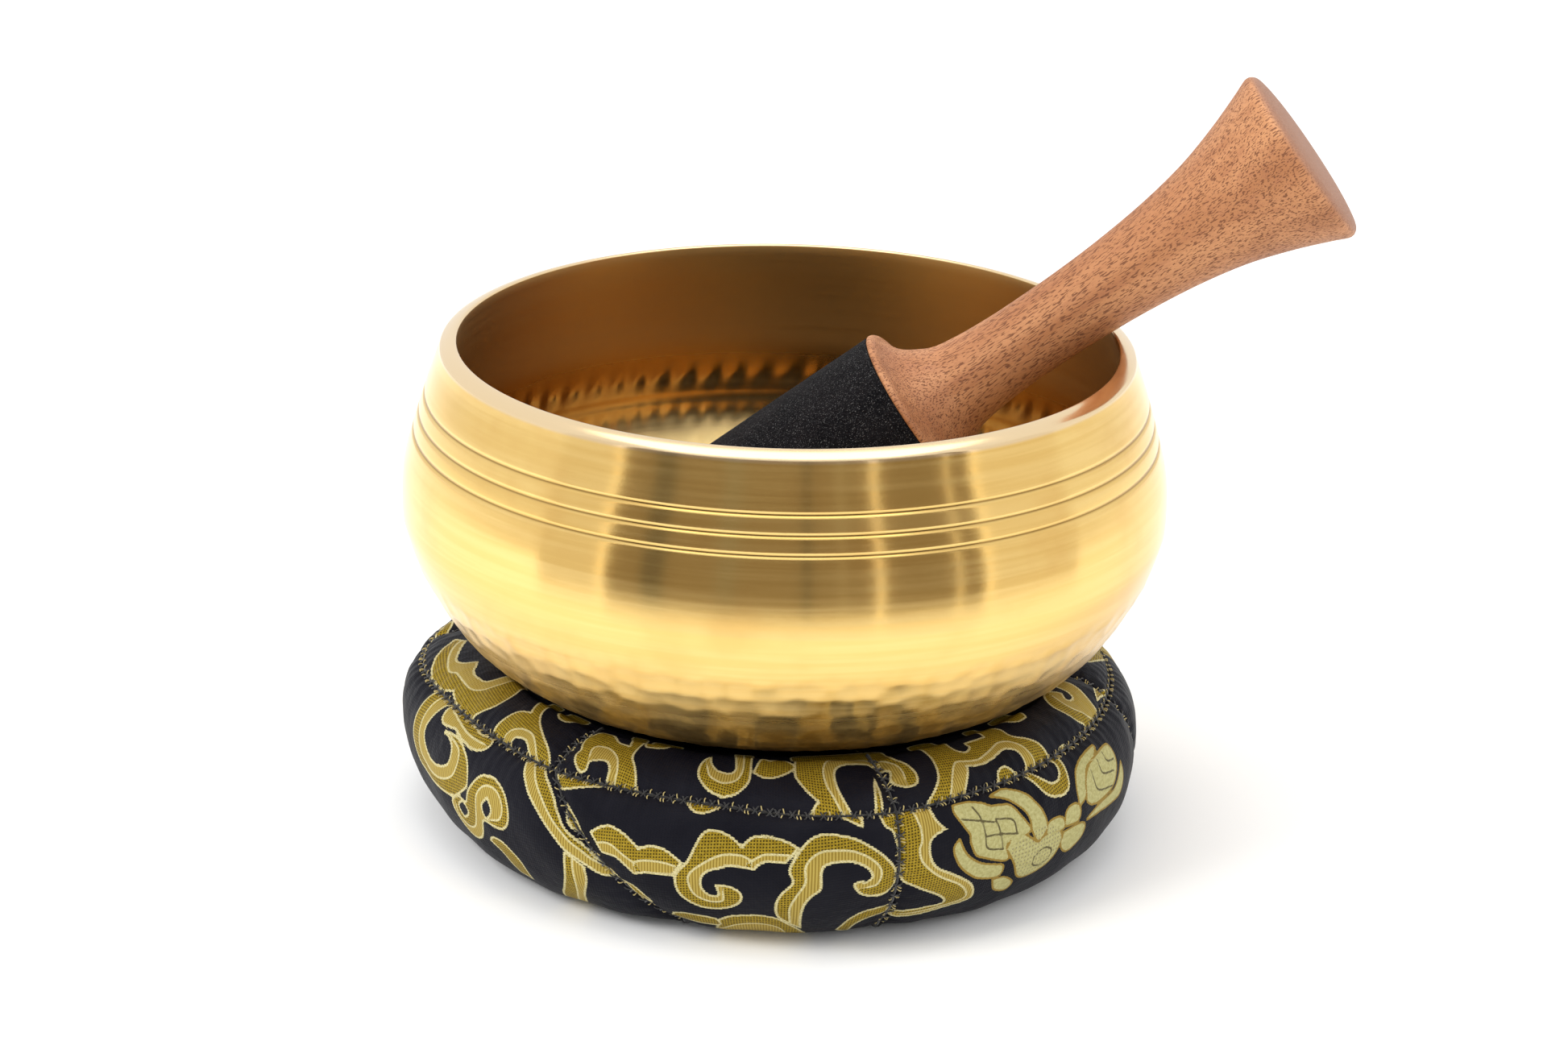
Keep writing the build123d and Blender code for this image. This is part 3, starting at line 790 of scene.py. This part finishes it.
def inside_depth(points, loop):
    """Distance inside a closed loop, less than zero outside."""
    closed = np.vstack([loop, loop[:1]])
    within = np.zeros(len(points), bool)
    for start, run in zip(*segments_of(closed)):
        if run[1] == 0:
            continue
        crosses = (start[1] > points[:, 1]) != (start[1] + run[1] > points[:, 1])
        at = start[0] + (points[:, 1] - start[1]) * run[0] / run[1]
        within ^= crosses & (points[:, 0] < at)
    gap = distance_to(points, closed)[0]
    return np.where(within, gap, -gap)


def near(points, loop, margin=3):
    low, high = loop.min(0) - margin, loop.max(0) + margin
    return np.nonzero(((points > low) & (points < high)).all(1))[0]


def deepest(old, depth):
    """A later figure lies over an earlier one, and outside both the nearer edge counts."""
    return np.where(depth > 0, depth, np.maximum(old, depth))


def woven(x, y, figures, petals, veins):
    """The attributes that the brocade material reads, for points of the unrolled cloth."""
    around = np.stack([(x + REPEAT / 2) % REPEAT - REPEAT / 2, y], 1)
    values = {"figure": np.full(len(x), -3.0), "across": np.full(len(x), 3.0), "petal": np.full(len(x), -3.0),
              "vein": np.full(len(x), 3.0), "net": np.zeros(len(x))}
    for shift in (-REPEAT, 0.0, REPEAT):
        points = around + (shift, 0)
        for figure in figures:
            edge = smooth(figure["ground"], 0.8)
            loop = np.vstack([edge, smooth(figure["strip"], 0.8)[::-1]]) if figure["strip"] else edge
            chosen = near(points, loop)
            if not len(chosen):
                continue
            depth = inside_depth(points[chosen], loop)
            for hole in figure["holes"]:
                depth = np.minimum(depth, -inside_depth(points[chosen], smooth(hole, 0.6)))
            values["figure"][chosen] = deepest(values["figure"][chosen], depth)
            across = np.full(len(chosen), 3.0)
            if figure["line"]:
                curve = smooth(figure["line"], 0.8)
                gap, side = distance_to(points[chosen], curve)
                starts, runs = segments_of(curve)
                middles = starts + runs / 2
                to_edge = edge[np.argmin(((edge[None] - middles[:, None]) ** 2).sum(-1), 1)] - middles
                ground_side = np.sign(np.sum(runs[:, 0] * to_edge[:, 1] - runs[:, 1] * to_edge[:, 0]))
                across = np.clip(gap * side * ground_side, -3, 3)
            values["across"][chosen] = np.where(depth > -0.4, across, values["across"][chosen])
        for _, petal in petals:
            loop = smooth(petal, 0.8)
            chosen = near(points, loop)
            if len(chosen):
                values["petal"][chosen] = deepest(values["petal"][chosen], inside_depth(points[chosen], loop))
        for _, vein in veins:
            curve = smooth(vein, 0.8)
            chosen = near(points, curve)
            if len(chosen):
                gap, _ = distance_to(points[chosen], curve)
                values["vein"][chosen] = np.minimum(values["vein"][chosen], gap)
        if petals:
            off = ((points - NET_MIDDLE) / NET_SIZE) ** 2
            values["net"] = np.maximum(values["net"], (off.sum(1) < 1).astype(float))
    return values


# ---------------------------------------------------------------- cushion

CORNERS = np.radians((-38.9, 18.0, 81.0, 141.0, 201.0, 261.0))
FOOT_TURNS = np.radians((17.9, 0.0, 6.0, 6.0, 6.0, 6.0))
# The top seam's radius at some azimuths in degrees.
SEAM_RADIUS = ((-180, 78), (-150, 78), (-93, 82.3), (-82, 80), (-75, 77.2), (-65, 75.8), (-56, 75.1),
               (-47, 76), (-36, 77), (-27, 76.3), (-8, 77.3), (4, 81.6), (18, 82.3), (30, 78.8), (53, 75.4),
               (75, 74.4), (104, 75.6), (150, 78), (180, 78))
# The bowl's underside, under which the cushion's top dips: radius and height.
UNDERSIDE = ((0, 31.7), (34, 31.7), (54, 35.9), (60.6, 38.2), (66, 41.3), (72.4, 46.8), (77.2, 53.5),
             (85, 73.5))
WELL = 27.6
# Arcs of the cushion's section, each with its middle and radius: the side over its widest height, the
# side under it, and the shoulder of the top.
WIDEST = 21
UPPER_MIDDLE, UPPER_BEND = 64.74, 17.46
LOWER_MIDDLE, LOWER_BEND = 59.57, 22.63
SHOULDER_MIDDLE, SHOULDER_HEIGHT, SHOULDER_BEND = 64, 14.6, 22.7


def seam_radius(azimuth):
    """The top seam's radius, its table's corners rounded off."""
    return sum(np.interp((np.degrees(azimuth) + turn + 180) % 360 - 180, *np.transpose(SEAM_RADIUS))
               for turn in (-4, 0, 4)) / 3


def corner_azimuth(index, side, y):
    """Where a seam between panels runs, at a distance from the top seam."""
    turn = FOOT_TURNS[index % 6] * np.clip(y / 27, 0, 1.3) if side else 0.0 * y
    return CORNERS[index % 6] + turn + (TAU if index >= 6 else 0.0)


def base_point(side, azimuth, y):
    """A point of the smooth cushion, y millimetres from the top seam along the side or the top."""
    grow = seam_radius(azimuth) - RING_RADIUS
    if side:
        start = math.atan2(SEAM_HEIGHT - WIDEST, RING_RADIUS - UPPER_MIDDLE)
        turn = UPPER_BEND * start
        upper = y < turn
        bend = np.where(upper, UPPER_BEND, LOWER_BEND)
        angle = np.where(upper, start - y / bend, (turn - y) / bend)
        r = np.where(upper, UPPER_MIDDLE, LOWER_MIDDLE) + bend * np.cos(angle)
        z = WIDEST + bend * np.sin(angle)
        r = r + grow * np.clip(z / SEAM_HEIGHT, 0, 1)
        z = np.maximum(z, 0.0)
    else:
        start = math.atan2(SEAM_HEIGHT - SHOULDER_HEIGHT, RING_RADIUS - SHOULDER_MIDDLE)
        angle = start + y / SHOULDER_BEND
        flat = np.maximum(angle - math.pi / 2, 0)
        r = SHOULDER_MIDDLE + SHOULDER_BEND * (np.cos(angle - flat) - flat)
        z = SHOULDER_HEIGHT + SHOULDER_BEND * np.sin(angle - flat)
        r = r + grow * np.clip((r - 58) / (RING_RADIUS - 58), 0, 1)
        z = np.minimum(z, np.interp(r, *np.transpose(UNDERSIDE)) - 0.45)
    return np.stack([r * np.sin(azimuth), -r * np.cos(azimuth), z], -1)


def sheet_normal(side, azimuth, y):
    """Unit normal of the undented cloth, out of the cushion."""
    small = 0.05
    turn = small / RING_RADIUS
    round_it = base_point(side, azimuth + turn, y) - base_point(side, azimuth - turn, y)
    along = base_point(side, azimuth, y + small) - base_point(side, azimuth, np.maximum(y - small, 0))
    normal = np.cross(along, round_it) if side else np.cross(round_it, along)
    return normal / np.maximum(np.linalg.norm(normal, axis=-1, keepdims=True), 1e-9)


def cloth_point(side, azimuth, y, lift=0.0):
    """A point of the stuffed cloth: full between the seams, drawn in along them, a little creased."""
    x = azimuth * RING_RADIUS
    turns = [(azimuth - corner_azimuth(index, side, y) + math.pi) % TAU - math.pi for index in range(6)]
    corner_gap = np.minimum.reduce(np.abs(turns)) * RING_RADIUS
    gap = np.minimum(corner_gap, y)
    full = 1.1 * (1 - np.exp(-gap / 6)) - 1.1 * np.exp(-gap / 1.3)
    pucker_x = 0.5 + 0.5 * np.cos(x * TAU / 3.1 + 0.6 * np.sin(x * 0.21))
    pucker_y = 0.5 + 0.5 * np.cos(y * TAU / 3.1)
    pucker = 0.34 * (np.exp(-(y / 3.2)) * pucker_x + np.exp(-(corner_gap / 3.2)) * pucker_y)
    crease = 0.22 * np.sin(x * 0.31 + 1.3 * np.sin(y * 0.17)) * np.sin(y * 0.23 + 0.8 + np.sin(x * 0.11))
    crease = crease + 0.12 * np.sin(x * 0.83 + y * 0.35 + 2 * np.sin(x * 0.07)) * np.exp(-gap / 9)
    push = full - pucker + crease * (1 - np.exp(-gap / 3))
    if side:
        push = push * (1 - ease(y, 33, 38))
    else:
        push = push * (1 - ease(y, 13.5, 17.5)) - 0.6 * ease(y, 13.5, 17.5)
    point = base_point(side, azimuth, y) + sheet_normal(side, azimuth, y) * (push + lift)[..., None]
    point[..., 2] = np.maximum(point[..., 2], 0.05)
    return point


def build_panel(index, side, material):
    """One piece of the cloth between two corners, 0.75 mm thick, its inner face coarser than its outer."""
    step = 0.42 if FULL else 0.8
    if side:
        rows = np.concatenate([np.arange(0.3, 32, step), np.arange(32, 39.5, 1.5), [39.5]])
    else:
        rows = np.concatenate([np.arange(0.3, 18.5, step), np.arange(18.5, 52.0, 3.0)])
    back = rows[::-5]
    count = round((CORNERS[(index + 1) % 6] - CORNERS[index]) % TAU * RING_RADIUS / step)
    t = np.linspace(0, 1, count + 1)[:, None]
    y = np.concatenate([rows, back])[None, :]
    start, end = corner_azimuth(index, side, y), corner_azimuth(index + 1, side, y)
    end = start + (end - start) % TAU
    margin = 0.35 / RING_RADIUS
    azimuth = start + margin + (end - start - 2 * margin) * t
    y = np.broadcast_to(y, azimuth.shape)
    lift = np.broadcast_to(np.concatenate([np.zeros(len(rows)), np.full(len(back), -0.75)]), azimuth.shape)
    points = cloth_point(side, azimuth, y, lift)
    if not side:
        reach = np.hypot(points[..., 0], points[..., 1])
        points[..., :2] *= np.maximum(WELL / reach, 1.0)[..., None]
    x = azimuth.ravel() * RING_RADIUS
    values = woven(x, y.ravel(), SIDE_FIGURES if side else TOP_FIGURES, SIDE_PETALS if side else [],
                   SIDE_VEINS if side else [])
    values["cloth"] = np.stack([x, y.ravel(), np.zeros(len(x))], 1)
    loop = len(rows) + len(back)
    kind = "side" if side else "top"
    piece = make_piece(f"{kind}_cloth_{index + 1}", points.reshape(-1, 3), grid_faces(count + 1, loop),
                       material, "cushion", values, end_caps(count + 1, loop))
    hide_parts(f"{kind}_panel_{index + 1}")


def tubes(paths, radius, around=6):
    """Round threads along rows of points, as one mesh."""
    points, faces, base = [], [], 0
    for path in paths:
        run = np.gradient(path, axis=0)
        run /= np.maximum(np.linalg.norm(run, axis=1, keepdims=True), 1e-9)
        aside = np.cross(run, path / np.maximum(np.linalg.norm(path, axis=1, keepdims=True), 1e-9))
        aside /= np.maximum(np.linalg.norm(aside, axis=1, keepdims=True), 1e-9)
        other = np.cross(run, aside)
        angle = np.arange(around) * TAU / around
        ring = (path[:, None] + radius * (np.cos(angle)[:, None] * aside[:, None]
                                          + np.sin(angle)[:, None] * other[:, None]))
        points.append(ring.reshape(-1, 3))
        faces.append(grid_faces(len(path), around) + base)
        base += len(path) * around
    return np.vstack(points), np.vstack(faces)


def seam_cords(material):
    """The sewing: a sunk cord along each seam with crossed stitches over it."""
    def over_ring(t, across, lift):
        azimuth = t / RING_RADIUS
        down = cloth_point(True, azimuth, np.maximum(across, 0.0), lift)
        inward = cloth_point(False, azimuth, np.maximum(-across, 0.0), lift)
        return np.where((across > 0)[:, None], down, inward)

    def over_corner(index, side):
        def place(t, across, lift):
            return cloth_point(side, corner_azimuth(index, side, t) + across / RING_RADIUS, t, lift)
        return place

    across = np.array([-1.05, -0.8, -0.3, 0.3, 0.8, 1.05])
    lift = np.array([-0.25, 0.10, 0.42, 0.42, 0.10, -0.25])

    def stitches(place, start, end, pitch=3.1):
        paths = []
        for t in np.arange(start, end, pitch):
            slant = np.linspace(-0.75, 0.75, 6)
            paths.append(place(t + slant, across, lift))
            paths.append(place(t - slant, across, lift + 0.12))
        return paths

    def ticks(place, start, end, pitch=3.1):
        """Short pale threads beside the black ones, one or two at a time, standing in for highlights on the
        satin between stitches: painted highlights.
        """
        paths = []
        reach = np.array([0.35, 0.6, 0.9, 1.2])
        for count, t in enumerate(np.arange(start, end, pitch)):
            for side, shift in ((1, 0.9), (-1, 1.3), (1, 1.6))[:2 + count % 2]:
                slant = t + shift + 0.25 * (reach - 0.7) * (1 if count % 3 else -1)
                paths.append(place(slant, side * reach, np.array([-0.1, 0.16, 0.16, -0.2])))
        return paths

    def cord(place, start, end):
        t = np.arange(start, end, 1.0)
        return place(t, np.full(len(t), 1e-4), np.full(len(t), 0.0))

    circle = TAU * RING_RADIUS
    pieces = {
        "top_seam_thread": ([cord(over_ring, 0, circle + 1)], stitches(over_ring, 0, circle - 1),
                            ticks(over_ring, 0, circle - 2)),
        "side_seam_threads": ([cord(over_corner(i, True), 0, 39) for i in range(6)],
                              sum([stitches(over_corner(i, True), 2.5, 37) for i in range(6)], []),
                              sum([ticks(over_corner(i, True), 2.5, 36) for i in range(6)], [])),
        "radial_seam_threads": ([cord(over_corner(i, False), 0, 19) for i in range(6)],
                                sum([stitches(over_corner(i, False), 2.5, 15) for i in range(6)], []),
                                sum([ticks(over_corner(i, False), 2.5, 14) for i in range(6)], [])),
    }
    for node, (cords, stitched, ticks) in pieces.items():
        sets = [tubes(cords, 0.42, 8), tubes(stitched, 0.15), tubes(ticks, 0.13)]
        shifts = np.cumsum([0] + [len(part) for part, _ in sets])
        # The short pale threads are painted highlights of the satin between stitches.
        tick_highlight = np.concatenate([np.full(len(part), float(kind == 2)) for kind, (part, _) in enumerate(sets)])
        faces = np.concatenate([part[:, :4] + shift for (_, part), shift in zip(sets, shifts)])
        piece = make_piece(node.replace("thread", "sewing"), np.vstack([part for part, _ in sets]), faces,
                           material, "cushion", {"tick_highlight": tick_highlight})
        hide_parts(node)


def ring_piece(name, section, material, node, around=160):
    """A closed ring whose half section is a loop of (radius, height) points."""
    section = np.array(section, float)
    angle = np.arange(around) * TAU / around
    points = np.stack([section[:, :1] * np.sin(angle), -section[:, :1] * np.cos(angle),
                       np.broadcast_to(section[:, 1:], (len(section), around))], -1).reshape(-1, 3)
    faces = grid_faces(len(section) + 1, around) % len(points)
    piece = make_piece(name, points, faces, material, "cushion")
    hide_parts(node)
    return piece


def build_cushion(cloth, thread, plain, fibre):
    for index in range(6):
        build_panel(index, True, cloth)
        build_panel(index, False, cloth)
    seam_cords(thread)
    stuffing = ring_piece("stuffing", [(28.5, 2), (28.5, 28), (40, 30.2), (54, 33.2), (62, 34.2), (68, 32.8),
                                       (72, 29.6), (76, 24), (77, 19), (75.5, 11), (71.5, 5), (66, 2)],
                          fibre, "cushion_filling")
    ring_piece("well_band", [(26.1, 1.0), (26.1, 28.6), (26.9, 30.2), (28.0, 30.7), (28.0, 29.8),
                             (27.3, 29.2), (26.9, 28.2), (26.9, 1.0)], plain, "inner_band")
    ring_piece("base_disc", [(0.3, 0.0), (66.9, 0.0), (66.9, 0.8), (0.3, 0.8)], plain,
               "base_panel")
    turns = np.arange(12) * TAU / 12
    for place, r, z, thick, count in (("bottom", 67.6, 0.4, 0.34, 160), ("inner", 27.2, 30.3, 0.45, 120)):
        section = [(r + thick * math.cos(turn), z + thick * math.sin(turn)) for turn in turns]
        ring_piece(place + "_sewing", section, thread, place + "_seam_thread", count)


build_bowl(brass())
build_mallet(turned_wood(), suede())
build_cushion(brocade(), sewing_thread(), plain_cloth(), stuffing_fibre())
set_camera()
set_stage()
